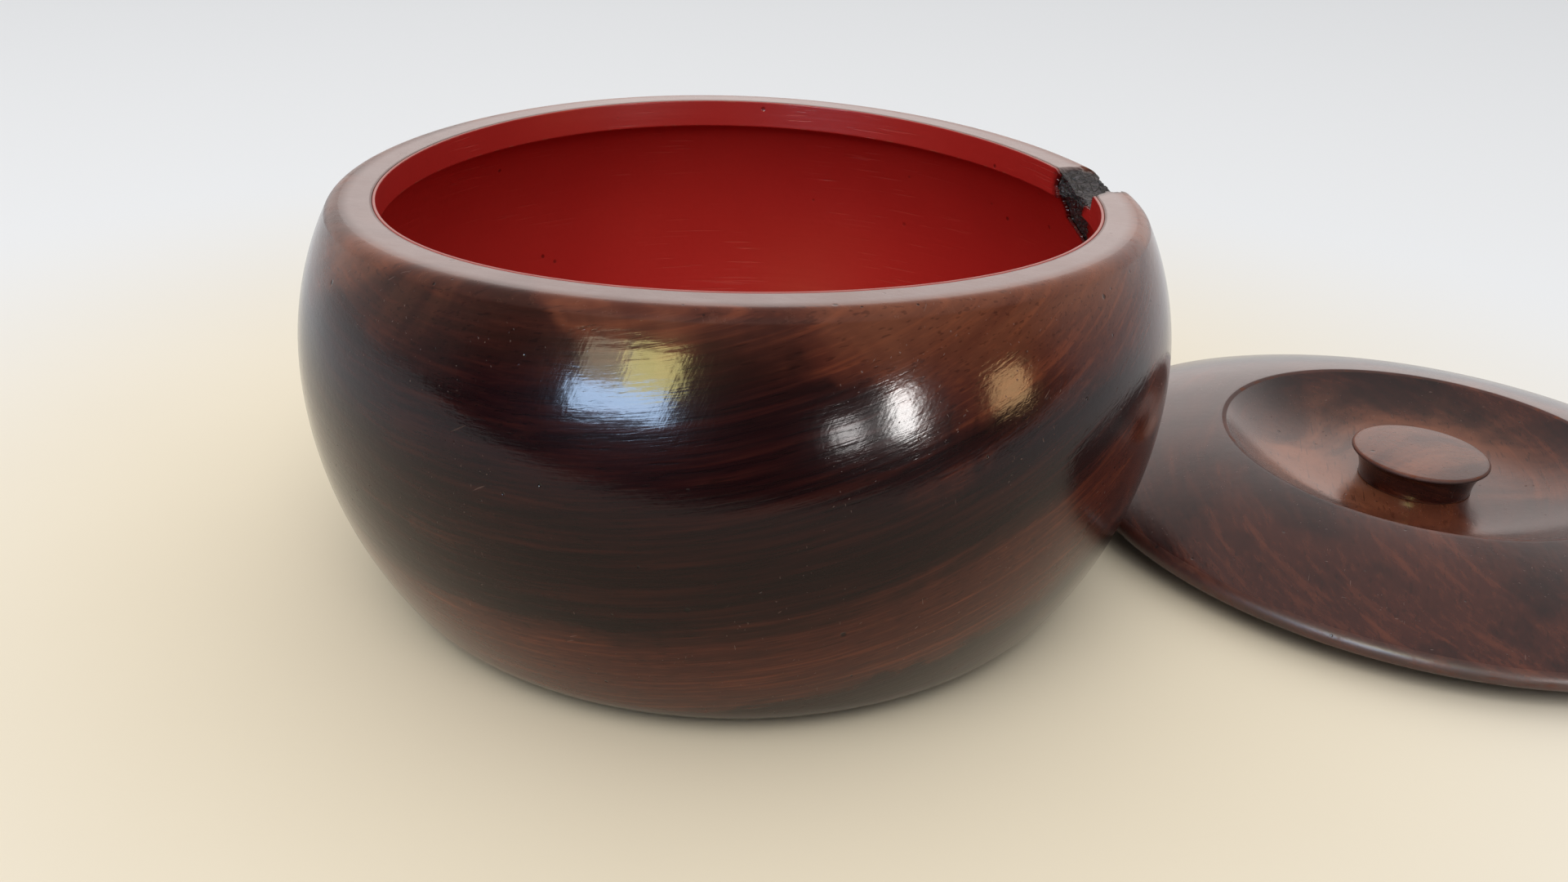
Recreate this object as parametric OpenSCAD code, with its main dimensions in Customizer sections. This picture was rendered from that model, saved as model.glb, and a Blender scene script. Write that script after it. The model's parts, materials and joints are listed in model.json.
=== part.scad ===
// A turned and lacquered wooden go stone bowl with its loose lid.
// The bowl stands on z = 0 with its axis on the Z axis, and +X points from the bowl to the lid beside it.

/* [Bowl] */
// Height of the bowl from its foot to the flat top of its rim
bowl_h = 69; // [66:0.5:78]
// Radius of the belly, the widest place
belly_r = 75; // [73:0.5:77]
// Height of the belly above the table
belly_z = 42; // [38:0.5:44]
// Radius of the finished mouth, where the lid's spigot fits
mouth_r = 60.5; // [58:0.1:62]
// Curve radius of the outside above the belly
upper_curve_r = 54; // [50:0.5:62]
// Curve radius of the outside below the belly
lower_curve_r = 70.5; // [66:0.5:80]
// Rounding between the flat top of the rim and the outside
rim_round = 2.8; // [1:0.1:3.5]
// Rounding between the outside and the flat foot
foot_round = 12; // [8:0.5:16]
// Thickness of the side wall, lacquer included
wall = 7.8; // [7:0.1:8.5]
// Thickness of the floor, lacquer included
floor_t = 8; // [6:0.5:12]
// Rounding between the inside wall and the floor
well_round = 14; // [10:0.5:18]
// Depth of the straight band in the mouth that takes the lid's spigot
seat_depth = 5.3; // [4:0.1:7]
// Thickness of the red lacquer and its ground coat
lacquer_t = 0.5; // [0.3:0.1:0.8]

/* [Lid] */
// Where the lid is drawn
lid_place = "on the table"; // ["on the table", "on the bowl"]
// Distance from the bowl's axis to the axis of the lid beside it
lid_rest_x = 138; // [138:0.5:200]
// Radius of the lid's outer edge
lid_r = 68; // [66:0.1:69]
// Height of the crest around the recess above the face that meets the rim
crest_h = 11.6; // [10.5:0.1:15]
// Radius of the crest around the recess
crest_r = 38.7; // [34:0.1:44]
// Depth of the recess below the crest
recess_depth = 8.1; // [6:0.1:9]
// Slope of the recess wall just inside the crest, in degrees
recess_slope = 40; // [25:1:55]
// Curve radius of the dome between the edge and the crest
dome_curve_r = 100; // [60:5:200]
// Rounding of the lid's outer edge
edge_round = 2; // [1:0.1:3]
// Length of the spigot under the lid
spigot_h = 3.6; // [3:0.1:5]
// Radial gap between the spigot and the mouth
seat_gap = 0.4; // [0.1:0.05:0.5]

/* [Knob] */
// Radius of the knob's top
knob_r = 12.9; // [11:0.1:16]
// Height of the knob above the recess floor
knob_h = 6.7; // [5:0.1:9]
// Radius of the knob where it meets the recess floor
neck_r = 10.6; // [8:0.1:10.8]
// Radius of the glued tenon under the knob
tenon_r = 4.5; // [3:0.1:6]

/* [Hidden] */

wood = "#4a2018";
lacquer = "#8c1a14";
turned_fn = 96;      // facets of a turned form
curve_steps = 14;    // straight pieces in a long curve of an outline
corner_steps = 6;    // straight pieces in a rounded corner of an outline
same_point = 0.001;  // points of an outline closer than this are one point
cut_past = 1;        // how far a cut reaches past the face that it opens

// Bowl outline: the curves above and below the belly share the height belly_z, so the belly is smooth.
upper_c = [belly_r - upper_curve_r, belly_z];
lower_c = [belly_r - lower_curve_r, belly_z];
foot_c = inside_tangent(lower_c, lower_curve_r, foot_round, foot_round);
shoulder_c = inside_tangent(upper_c, upper_curve_r, rim_round, bowl_h - rim_round);

// Inside of the bowl, with its finished surface one wall inside the outside curves
seat_z = bowl_h - seat_depth;
well_lower_r = lower_curve_r - wall;
well_upper_r = upper_curve_r - wall;
well_c = inside_tangent(lower_c, well_lower_r, well_round, floor_t + well_round);

// Lid outline, with z = 0 on the face that meets the rim
spigot_r = mouth_r - seat_gap;
crest_round = 1.4;   // rounding of the crest around the recess
edge_c = [lid_r - edge_round, edge_round];
crest_c = [crest_r, crest_h - crest_round];
dome_c = common_centre(edge_c, dome_curve_r - edge_round, crest_c, dome_curve_r - crest_round);
recess_z = crest_h - recess_depth;
lip = crest_c + crest_round * [-sin(recess_slope), cos(recess_slope)];
knob_land_w = 1;     // width of the flat ring around the foot of the knob
recess_flat_r = neck_r + knob_land_w;
recess_power = tan(recess_slope) * (lip.x - recess_flat_r) / (lip.y - recess_z);
land_w = 3;          // width of the ring that the lid stands on
land_round = 0.6;    // rounding between the spigot and that ring
hollow_rise = 1.8;   // rise of the hollow under the lid towards its centre
hollow_edge_r = spigot_r - land_w;

// Knob outline, with z = 0 on the recess floor
knob_edge = 0.45;    // rounding of the knob's widest edge
knob_crown = 0.3;    // rise of the knob's top towards its centre
knob_side_curve_r = 8;
tenon_h = 2.6;       // length of the glued tenon
glue_gap = 0.05;     // film of glue round the tenon

// Points along an arc about c, from angle a0 to angle a1
function arc(c, r, a0, a1, steps) =
    [for (i = [0:steps]) let (a = a0 + (a1 - a0) * i / steps) c + r * [cos(a), sin(a)]];

// Angle of the direction from p to q
function heading(p, q) = atan2(q.y - p.y, q.x - p.x);

// Centre, at height z, of a circle of radius r that touches the circle (c, big_r) from inside, on its right
function inside_tangent(c, big_r, r, z) = [c.x + sqrt(pow(big_r - r, 2) - pow(z - c.y, 2)), z];

// Lower of the two points that are p_dist from p and q_dist from q
function common_centre(p, p_dist, q, q_dist) =
    let (
        gap = norm(q - p),
        along = (gap * gap + p_dist * p_dist - q_dist * q_dist) / (2 * gap),
        across = sqrt(p_dist * p_dist - along * along),
        way = (q - p) / gap
    )
    p + along * way + across * [-way.y, way.x];

// Shallow arc from p to q with radius r, bulging to the left of the way from p to q
function bulge(p, q, r, steps) =
    let (
        half = norm(q - p) / 2,
        way = (q - p) / (2 * half),
        c = (p + q) / 2 + sqrt(r * r - half * half) * [way.y, -way.x],
        a0 = heading(c, p)
    )
    arc(c, r, a0, a0 - 2 * asin(half / r), steps);

// Points of a list from last to first
function backwards(points) = [for (i = [len(points) - 1:-1:0]) points[i]];

// Outside of the bowl, from the centre of its foot to the inner edge of its rim
function bowl_outside() =
    let (
        foot_a = heading(lower_c, foot_c),
        shoulder_a = heading(upper_c, shoulder_c)
    )
    concat(
        [[0, 0]],
        arc(foot_c, foot_round, -90, foot_a, corner_steps),
        arc(lower_c, lower_curve_r, foot_a, 0, curve_steps),
        arc(upper_c, upper_curve_r, 0, shoulder_a, curve_steps),
        arc(shoulder_c, rim_round, shoulder_a, 90, corner_steps)
    );

// Inside of the bowl from the floor's centre to the rim, moved a distance t into the wood
function bowl_inside(t) =
    let (
        well_a = heading(lower_c, well_c),
        seat_a = asin((seat_z + t - belly_z) / (well_upper_r + t))
    )
    concat(
        [[0, floor_t - t]],
        arc(well_c, well_round + t, -90, well_a, corner_steps),
        arc(lower_c, well_lower_r + t, well_a, 0, curve_steps),
        arc(upper_c, well_upper_r + t, 0, seat_a, curve_steps),
        [[mouth_r + t, seat_z + t], [mouth_r + t, bowl_h]]
    );

// Top of the lid, from the outer edge's underside to the recess floor's centre
function lid_top() =
    let (
        edge_a = heading(dome_c, edge_c),
        crest_a = heading(dome_c, crest_c)
    )
    concat(
        arc(edge_c, edge_round, -90, edge_a, corner_steps),
        arc(dome_c, dome_curve_r, edge_a, crest_a, curve_steps),
        arc(crest_c, crest_round, crest_a, 90 + recess_slope, corner_steps),
        [for (i = [curve_steps - 1:-1:0]) recess_point(i / curve_steps)],
        [[0, recess_z]]
    );

// Point on the recess between the edge of its flat floor (share 0) and the lip (share 1)
function recess_point(share) =
    [
        recess_flat_r + (lip.x - recess_flat_r) * share,
        recess_z + (lip.y - recess_z) * pow(share, recess_power)
    ];

// Hollow under the lid, from its centre to the land, moved a distance t into the wood
function lid_hollow(t) =
    let (dome_r = (hollow_edge_r * hollow_edge_r + hollow_rise * hollow_rise) / (2 * hollow_rise))
    bulge([0, hollow_rise - spigot_h + t], [hollow_edge_r, t - spigot_h], dome_r, curve_steps);

// Points of an outline without those that repeat the point before them
function distinct(points) =
    [for (i = [0:len(points) - 1]) if (i == 0 || norm(points[i] - points[i - 1]) > same_point) points[i]];

// Turns a closed outline of [radius, height] points about the Z axis
module turned(outline) {
    rotate_extrude($fn = turned_fn) polygon(distinct(outline));
}

// Moves the lid's parts to the table beside the bowl, or onto the bowl
module place_lid() {
    seated = lid_place == "on the bowl";
    translate(seated ? [0, 0, bowl_h] : [lid_rest_x, 0, spigot_h]) children();
}

module bowl_shell() {
    color(wood) turned(concat(bowl_outside(), backwards(bowl_inside(lacquer_t))));
}

module bowl_lining() {
    color(lacquer) turned(concat(bowl_inside(0), backwards(bowl_inside(lacquer_t))));
}

module lid_plate() {
    land_c = [spigot_r - land_round, land_round - spigot_h];
    underside = concat(
        lid_hollow(lacquer_t),
        [[hollow_edge_r, -spigot_h]],
        arc(land_c, land_round, -90, 0, corner_steps),
        [[spigot_r, 0]]
    );
    color(wood) place_lid() difference() {
        turned(concat(underside, lid_top()));
        translate([0, 0, recess_z - tenon_h - glue_gap])
            cylinder(r = tenon_r + glue_gap, h = tenon_h + glue_gap + cut_past, $fn = turned_fn);
    }
}

module lid_lining() {
    color(lacquer) place_lid() turned(concat(lid_hollow(0), backwards(lid_hollow(lacquer_t))));
}

module lid_knob() {
    knob_edge_c = [knob_r - knob_edge, knob_h - knob_crown - knob_edge];
    side = bulge([neck_r, 0], knob_edge_c + [0, -knob_edge], knob_side_curve_r, corner_steps);
    crown_r = (pow(knob_edge_c.x, 2) + pow(knob_crown, 2)) / (2 * knob_crown);
    top = bulge([0, knob_h], knob_edge_c + [0, knob_edge], crown_r, corner_steps);
    outline = concat(
        [[0, -tenon_h], [tenon_r, -tenon_h], [tenon_r, 0]],
        side,
        arc(knob_edge_c, knob_edge, -90, 90, corner_steps),
        backwards(top)
    );
    color(wood) place_lid() translate([0, 0, recess_z]) turned(outline);
}

bowl_shell();
bowl_lining();
lid_plate();
lid_lining();
lid_knob();
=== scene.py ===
"""Looks of the go stone bowl and its lid. Outlines and their sizes are in mm, and meshes in metres."""
import json
import math

import bpy
import numpy as np
from mathutils import Matrix, Vector, noise


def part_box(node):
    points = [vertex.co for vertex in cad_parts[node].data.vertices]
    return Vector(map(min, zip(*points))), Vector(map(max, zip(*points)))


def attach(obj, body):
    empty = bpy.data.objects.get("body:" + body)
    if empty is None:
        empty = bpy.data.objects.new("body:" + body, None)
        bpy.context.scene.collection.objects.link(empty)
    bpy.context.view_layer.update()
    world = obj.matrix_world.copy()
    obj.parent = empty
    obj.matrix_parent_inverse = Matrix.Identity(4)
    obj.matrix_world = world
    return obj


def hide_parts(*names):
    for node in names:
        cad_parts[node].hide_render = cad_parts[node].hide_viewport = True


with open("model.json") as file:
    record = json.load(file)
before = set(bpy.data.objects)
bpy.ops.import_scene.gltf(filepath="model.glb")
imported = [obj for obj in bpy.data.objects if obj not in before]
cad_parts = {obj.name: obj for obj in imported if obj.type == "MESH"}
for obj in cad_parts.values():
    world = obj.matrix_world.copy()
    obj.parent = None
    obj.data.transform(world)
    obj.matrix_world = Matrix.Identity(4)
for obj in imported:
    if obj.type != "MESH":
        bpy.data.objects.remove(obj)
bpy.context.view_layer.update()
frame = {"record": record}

MM = 0.001


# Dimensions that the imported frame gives

def size_of(node):
    """Lowest and highest corner of a CAD node, in mm."""
    low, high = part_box(node)
    return np.array(low) / MM, np.array(high) / MM


def mount(name):
    """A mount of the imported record."""
    return next(m for m in frame["record"]["mounts"] if m["name"] == name)


shell_high = size_of("bowl_shell")[1]
lining_low, lining_high = size_of("bowl_lining")
plate_low, plate_high = size_of("lid_plate")
hollow_low, hollow_high = size_of("lid_lining")
knob_low, knob_high = size_of("lid_knob")

BOWL_H = shell_high[2]
BELLY_R = shell_high[0]
LACQUER_T = 0.5
WALL = BELLY_R - lining_high[0] + LACQUER_T
FLOOR_T = lining_low[2] + LACQUER_T
MOUTH_R = mount("mouth_seat")["dims"]["r_mm"]
SEAT_Z = BOWL_H - mount("mouth_seat")["dims"]["length_mm"]

LID_X = (plate_low[0] + plate_high[0]) / 2
LID_R = (plate_high[0] - plate_low[0]) / 2
LID_TOP = plate_high[2]
SPIGOT_R = mount("lid_spigot")["dims"]["r_mm"]
HOLLOW_R = (hollow_high[0] - hollow_low[0]) / 2
HOLLOW_RISE = hollow_high[2] - LACQUER_T
KNOB_R = (knob_high[0] - knob_low[0]) / 2
KNOB_TOP = knob_high[2]
TENON_END = knob_low[2]

# Curves of the turned outlines, as in the CAD source
BELLY_Z = 42
UPPER_CURVE_R = 54
LOWER_CURVE_R = 70.5
RIM_ROUND = 2.8
FOOT_ROUND = 12
WELL_ROUND = 14
SPIGOT_H = 3.6
EDGE_ROUND = 2
CREST_R = 38.7
CREST_ROUND = 1.4
DOME_CURVE_R = 100
RECESS_DEPTH = 8.1
RECESS_SLOPE = 40
NECK_R = 10.6
KNOB_LAND_W = 1
TENON_R = 4.5
GLUE_GAP = 0.05
KNOB_EDGE = 0.45
KNOB_CROWN = 0.3
KNOB_SIDE_CURVE_R = 8
LAND_ROUND = 0.6

# Rounding that handling and lacquer give to the sharp corners of each outline
BOWL_SOFT_EDGE = 0.35
LID_SOFT_EDGE = 0.2
KNOB_SOFT_EDGE = 0.15

# The bowl has moved with the wood since it was turned: its rim is slightly oval and saddle-shaped.
OVAL_SHARE = 0.006      # growth of the radius along the long way of the oval, at the rim
OVAL_AZIMUTH = -61.6    # direction of that long way, in degrees from +X
SADDLE_RISE = 1.0       # rise of the rim at the front and back, in mm
SADDLE_DROP = 0.15      # drop of the whole rim
SADDLE_AZIMUTH = -87.6

# The burnt place on the rim: azimuths are in degrees from +X, depths in mm below the rim
BURN_RIGHT = -7.0       # right end of the burnt place, at the mouth
BURN_SLANT = 3.2        # how far that end is turned to the left over the middle of the rim and beyond
BURN_LEFT = 10.0        # left end
BURN_TIP = 5.0          # azimuth of the tip on the inside wall
BURN_DEPTH = 12.8       # how far below the rim the tip lies
BURN_BITE = 0.9         # wood lost from the inside wall
NOTCH_DEPTH = 2.9       # wood lost from the top of the rim, the same at both faces
NOTCH_SLOPE = 0.42      # how fast it deepens from the left end, in mm per degree
NOTCH_WALL = 0.8        # width of its steep wall at the right end, in degrees
LACQUER_DIVE = 2.6      # how far the lacquer's surface sinks into the wood inside the burnt place

# Spacing of the lathed meshes
COARSE_STEP = 1.3
FINE_STEP = 0.16
LID_STEP = 0.9
KNOB_STEP = 0.5
ROUND_STEP = 0.25       # along the lid's rounded edges
KNOB_EDGE_STEP = 0.12
RECESS_STEPS = 59
COARSE_TURN = 1.2       # degrees between columns
FINE_TURN = 0.16
BURN_ZONE = (-12.0, 15.0)       # azimuths with fine columns on the bowl
LID_FINE_ZONE = (-88, 40)       # and on the lid, where its nicked edge faces the camera

# Places of paler colour, in mm and degrees: painted light under the bowl's rim, and paler wood in the lid's
# recess
PAINTED_LIGHT_BELOW_RIM = (12, 2)        # depths below the rim where the painted light starts and where it is palest
PALE_INSIDE_CREST = (1, 14)     # the same inwards from the crest of the lid
LID_PALE_AZIMUTH = 120          # side of the recess with the palest wood; the opposite side, in front of the knob, is kept darker as painted shade


# Outlines of [radius, height] points

def arc(centre, r, start, end, step=COARSE_STEP):
    """Points along an arc about centre, from one angle to another in degrees."""
    count = max(5, math.ceil(abs(math.radians(end - start)) * r / step))
    angles = np.radians(np.linspace(start, end, count + 1))
    return np.column_stack([centre[0] + r * np.cos(angles), centre[1] + r * np.sin(angles)])


def heading(p, q):
    """Angle of the direction from p to q, in degrees."""
    return math.degrees(math.atan2(q[1] - p[1], q[0] - p[0]))


def inside_tangent(centre, big_r, r, z):
    """Centre, at height z, of a circle of radius r that touches a bigger circle from inside."""
    return np.array([centre[0] + math.sqrt((big_r - r) ** 2 - (z - centre[1]) ** 2), z])


def common_centre(p, p_dist, q, q_dist):
    """Lower of the two points that are p_dist from p and q_dist from q."""
    gap = np.linalg.norm(q - p)
    along = (gap ** 2 + p_dist ** 2 - q_dist ** 2) / (2 * gap)
    across = math.sqrt(p_dist ** 2 - along ** 2)
    way = (q - p) / gap
    return p + along * way + across * np.array([-way[1], way[0]])


def bulge(p, q, r):
    """Shallow arc from p to q with radius r, bulging to the left of the way from p to q."""
    p, q = np.array(p, float), np.array(q, float)
    half = np.linalg.norm(q - p) / 2
    way = (q - p) / (2 * half)
    centre = (p + q) / 2 + math.sqrt(r * r - half * half) * np.array([way[1], -way[0]])
    start = heading(centre, p)
    return arc(centre, r, start, start - 2 * math.degrees(math.asin(half / r)))


def distinct(points, gap=0.004):
    """The outline without points that repeat the one before them."""
    kept = [points[0]]
    for p in points[1:]:
        if np.linalg.norm(p - kept[-1]) > gap:
            kept.append(p)
    return np.array(kept)


def softened(points, r, sharp=20):
    """The outline with every corner sharper than a few degrees turned into an arc of about radius r."""
    result = [points[0]]
    for before, p, after in zip(points, points[1:], points[2:]):
        a, b = before - p, after - p
        len_a, len_b = np.linalg.norm(a), np.linalg.norm(b)
        turn = math.pi - math.acos(np.clip(a @ b / (len_a * len_b), -1, 1))
        if math.degrees(turn) < sharp:
            result.append(p)
            continue
        cut = min(r * math.tan(turn / 2), 0.45 * len_a, 0.45 * len_b)
        start, end = p + a / len_a * cut, p + b / len_b * cut
        for t in np.linspace(0, 1, 7):
            result.append((1 - t) ** 2 * start + 2 * t * (1 - t) * p + t ** 2 * end)
    result.append(points[-1])
    return np.array(result)


def filled(points, step_at):
    """The outline with long pieces divided. step_at(point) gives the longest piece allowed there."""
    result = [points[0]]
    for p, q in zip(points, points[1:]):
        count = max(1, math.ceil(np.linalg.norm(q - p) / step_at((p + q) / 2)))
        result.extend(p + (q - p) * i / count for i in range(1, count + 1))
    return np.array(result)


def bowl_step(p):
    """Longest piece of a bowl outline: short where the rim is burnt."""
    near_rim = p[1] > BOWL_H - BURN_DEPTH - 1 and p[0] < BELLY_R - 4
    return FINE_STEP if near_rim else COARSE_STEP


UPPER_C = np.array([BELLY_R - UPPER_CURVE_R, BELLY_Z])
LOWER_C = np.array([BELLY_R - LOWER_CURVE_R, BELLY_Z])
SHOULDER_C = inside_tangent(UPPER_C, UPPER_CURVE_R, RIM_ROUND, BOWL_H - RIM_ROUND)


def bowl_outside():
    """Outside of the bowl, from the centre of its foot to the outer edge of its flat rim."""
    foot_c = inside_tangent(LOWER_C, LOWER_CURVE_R, FOOT_ROUND, FOOT_ROUND)
    foot_a = heading(LOWER_C, foot_c)
    shoulder_a = heading(UPPER_C, SHOULDER_C)
    return np.vstack([
        [[0, 0]],
        arc(foot_c, FOOT_ROUND, -90, foot_a),
        arc(LOWER_C, LOWER_CURVE_R, foot_a, 0),
        arc(UPPER_C, UPPER_CURVE_R, 0, shoulder_a),
        arc(SHOULDER_C, RIM_ROUND, shoulder_a, 90, FINE_STEP),
    ])


def bowl_inside(t):
    """Inside of the bowl, from the floor's centre to the rim, moved a distance t into the wood."""
    lower_r = LOWER_CURVE_R - WALL
    upper_r = UPPER_CURVE_R - WALL
    well_c = inside_tangent(LOWER_C, lower_r, WELL_ROUND, FLOOR_T + WELL_ROUND)
    well_a = heading(LOWER_C, well_c)
    seat_a = math.degrees(math.asin((SEAT_Z + t - BELLY_Z) / (upper_r + t)))
    return np.vstack([
        [[0, FLOOR_T - t]],
        arc(well_c, WELL_ROUND + t, -90, well_a),
        arc(LOWER_C, lower_r + t, well_a, 0),
        arc(UPPER_C, upper_r + t, 0, seat_a),
        [[MOUTH_R + t, SEAT_Z + t], [MOUTH_R + t, BOWL_H]],
    ])


def lid_top():
    """Top of the lid standing on z = 0, from the underside of its outer edge to the recess floor."""
    edge_c = np.array([LID_R - EDGE_ROUND, SPIGOT_H + EDGE_ROUND])
    crest_c = np.array([CREST_R, LID_TOP - CREST_ROUND])
    dome_c = common_centre(edge_c, DOME_CURVE_R - EDGE_ROUND, crest_c, DOME_CURVE_R - CREST_ROUND)
    edge_a = heading(dome_c, edge_c)
    crest_a = heading(dome_c, crest_c)
    slope = math.radians(RECESS_SLOPE)
    lip = crest_c + CREST_ROUND * np.array([-math.sin(slope), math.cos(slope)])
    flat_r = NECK_R + KNOB_LAND_W
    recess_z = LID_TOP - RECESS_DEPTH
    power = math.tan(slope) * (lip[0] - flat_r) / (lip[1] - recess_z)
    shares = np.linspace(1, 0, RECESS_STEPS + 1)[1:]
    recess = np.column_stack([
        flat_r + (lip[0] - flat_r) * shares,
        recess_z + (lip[1] - recess_z) * shares ** power,
    ])
    return np.vstack([
        arc(edge_c, EDGE_ROUND, -90, edge_a, ROUND_STEP),
        arc(dome_c, DOME_CURVE_R, edge_a, crest_a),
        arc(crest_c, CREST_ROUND, crest_a, 90 + RECESS_SLOPE, ROUND_STEP),
        recess,
    ])


def lid_hollow(t):
    """Hollow under the lid, from its centre to the land, moved a distance t into the wood."""
    dome_r = (HOLLOW_R ** 2 + HOLLOW_RISE ** 2) / (2 * HOLLOW_RISE)
    return bulge([0, HOLLOW_RISE + t], [HOLLOW_R, t], dome_r)


def lid_wood_outline():
    """Outline of the lid, from its underside's centre to the bottom of the blind hole for the knob."""
    recess_z = LID_TOP - RECESS_DEPTH
    hole_r = TENON_R + GLUE_GAP
    hole_z = TENON_END - GLUE_GAP
    return np.vstack([
        lid_hollow(LACQUER_T),
        [[HOLLOW_R, 0]],
        arc([SPIGOT_R - LAND_ROUND, LAND_ROUND], LAND_ROUND, -90, 0, ROUND_STEP),
        [[SPIGOT_R, SPIGOT_H]],
        lid_top(),
        [[hole_r, recess_z], [hole_r, hole_z], [0, hole_z]],
    ])


def knob_outline():
    """Outline of the knob and its tenon."""
    recess_z = LID_TOP - RECESS_DEPTH
    edge_c = np.array([KNOB_R - KNOB_EDGE, KNOB_TOP - KNOB_CROWN - KNOB_EDGE])
    crown_r = (edge_c[0] ** 2 + KNOB_CROWN ** 2) / (2 * KNOB_CROWN)
    return np.vstack([
        [[0, TENON_END], [TENON_R, TENON_END], [TENON_R, recess_z]],
        bulge([NECK_R, recess_z], edge_c - [0, KNOB_EDGE], KNOB_SIDE_CURVE_R),
        arc(edge_c, KNOB_EDGE, -90, 90, KNOB_EDGE_STEP),
        bulge([0, KNOB_TOP], edge_c + [0, KNOB_EDGE], crown_r)[::-1],
    ])


# Shape changes of a lathed grid. Each works on arrays of radius, height and azimuth in degrees.

def smooth_step(low, high, value):
    """0 below low, 1 above high, smooth between."""
    t = np.clip((value - low) / (high - low), 0, 1)
    return t * t * (3 - 2 * t)


def ragged(r, z, azimuth, size, seed, octaves=4):
    """Fractal noise of about -1 to 1 on the surface, with features of the given size in mm."""
    a = np.radians(azimuth)
    spots = np.stack([r * np.cos(a), r * np.sin(a), z], -1).reshape(-1, 3) / size + seed
    values = [noise.fractal(Vector(p), 0.9, 2.1, octaves) for p in spots]
    return np.array(values).reshape(np.shape(r))


def burn(r, z, azimuth, inner):
    """The burnt place, for points on the bowl; inner is 1 on the inside and the rim, 0 on the outside.

    Returns how burnt each point is (0 to 1), how sooty, the wood lost in mm, and the height that the rim
    is cut down to.
    """
    burnt, soot, lost = np.zeros_like(r), np.zeros_like(r), np.zeros_like(r)
    cut = np.full_like(r, BOWL_H)
    near = (azimuth > BURN_ZONE[0]) & (azimuth < BURN_ZONE[1]) & (z > BOWL_H - BURN_DEPTH - 3)
    if not near.any():
        return burnt, soot, lost, cut
    r, z, azimuth, inner = r[near], z[near], azimuth[near], inner[near]
    below = BOWL_H - z
    coarse = ragged(r, z, azimuth, 2.6, 3.1)
    fine = ragged(r, z, azimuth, 0.7, 9.7)

    # The notch in the rim slopes down from its left end to a steep wall at the right
    outward = smooth_step(MOUTH_R, MOUTH_R + WALL / 2, r)
    on_top = ragged(r, z + below, azimuth, 2.2, 5.5, 6)
    wall_at = BURN_RIGHT + BURN_SLANT * outward + 0.5 * on_top
    slope = NOTCH_SLOPE * (BURN_LEFT + 1.6 - azimuth) + 0.35 * on_top
    notch = np.clip(slope, 0, NOTCH_DEPTH + 0.4 * on_top)
    notch = notch * smooth_step(wall_at, wall_at + NOTCH_WALL, azimuth)

    # The charred face covers the notch and runs down the inside wall to a tip
    share = np.clip(below / BURN_DEPTH, 0, 1)
    right = BURN_RIGHT + (BURN_TIP - BURN_RIGHT) * share ** 0.75
    right = right + BURN_SLANT * outward * smooth_step(6, 3, below)
    left = BURN_LEFT - (BURN_LEFT - BURN_TIP) * np.clip((share - 0.62) / 0.38, 0, 1) ** 2
    inside = np.minimum(left - azimuth, azimuth - right) * math.radians(1) * MOUTH_R
    inside = np.minimum(inside, BURN_DEPTH - below)
    inside = inside - 1.6 * (1 - inner) * np.clip(below - notch - 0.8, 0, None)
    edge = inside + 0.7 * coarse + 0.35 * fine
    mask = smooth_step(-0.25, 0.35, edge)
    blocks = np.abs(ragged(r, z, azimuth, 1.1, 7.3, 3))
    deep = smooth_step(0, 3.5, edge) * smooth_step(11, 1, below)
    burnt[near] = mask
    soot[near] = smooth_step(-2.2, 0.2, edge)
    lost[near] = mask * (0.25 + BURN_BITE * deep * (0.6 + 0.5 * coarse) + 0.25 * fine + 0.3 * (blocks < 0.06))
    cut[near] = BOWL_H - notch
    return burnt, soot, lost, cut


def cut_down(z, cut):
    """Heights with everything above the cut pressed flat onto it."""
    return np.where(z > cut, cut + 0.03 * (z - cut), z)


def warped(r, z, azimuth):
    """The oval and saddle that the wood's movement gave the bowl."""
    share = np.clip(z / BOWL_H, 0, 1)
    oval = 1 + OVAL_SHARE * share * np.cos(2 * np.radians(azimuth - OVAL_AZIMUTH))
    saddle = SADDLE_RISE * np.cos(2 * np.radians(azimuth - SADDLE_AZIMUTH)) - SADDLE_DROP
    return r * oval, z + saddle * share


def bowl_wood_shape(r, z, normal_r, normal_z, azimuth):
    """Burns and warps the bowl's wood. Its flat rim is marked for a greyish-pink colour, and the band just
    under the rim is made paler as painted light from above.
    """
    inner = smooth_step(0.35, -0.05, normal_r)
    burnt, soot, lost, cut = burn(r, z, azimuth, inner)
    rim = smooth_step(SHOULDER_C[0] + 0.5, SHOULDER_C[0] - 1.9, r) * smooth_step(0.7, 0.9, normal_z)
    rim = rim * (z > BOWL_H - RIM_ROUND)
    # Painted light: a paler band just under the rim, where the shoulder faces the light from above
    pale = 0.8 * smooth_step(BOWL_H - PAINTED_LIGHT_BELOW_RIM[0], BOWL_H - PAINTED_LIGHT_BELOW_RIM[1], z)
    r, z = warped(r - normal_r * lost, cut_down(z - normal_z * lost, cut), azimuth)
    return r, z, {"char": burnt, "soot": soot, "rim": rim, "pale": pale}


def bowl_lacquer_shape(r, z, normal_r, normal_z, azimuth):
    """Sinks the red lacquer into the wood where it is burnt away, and warps it."""
    burnt, soot, _, cut = burn(r, z, azimuth, np.ones_like(r))
    sink = burnt * LACQUER_DIVE
    rim = smooth_step(0.5, 0.9, normal_z) * (z > BOWL_H - 1)
    z = z - sink * smooth_step(BOWL_H - 3, BOWL_H, z)
    r, z = warped(r + sink, cut_down(z, cut - 0.6 * burnt), azimuth)
    return r, z, {"char": burnt, "soot": soot, "rim": rim}


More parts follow.
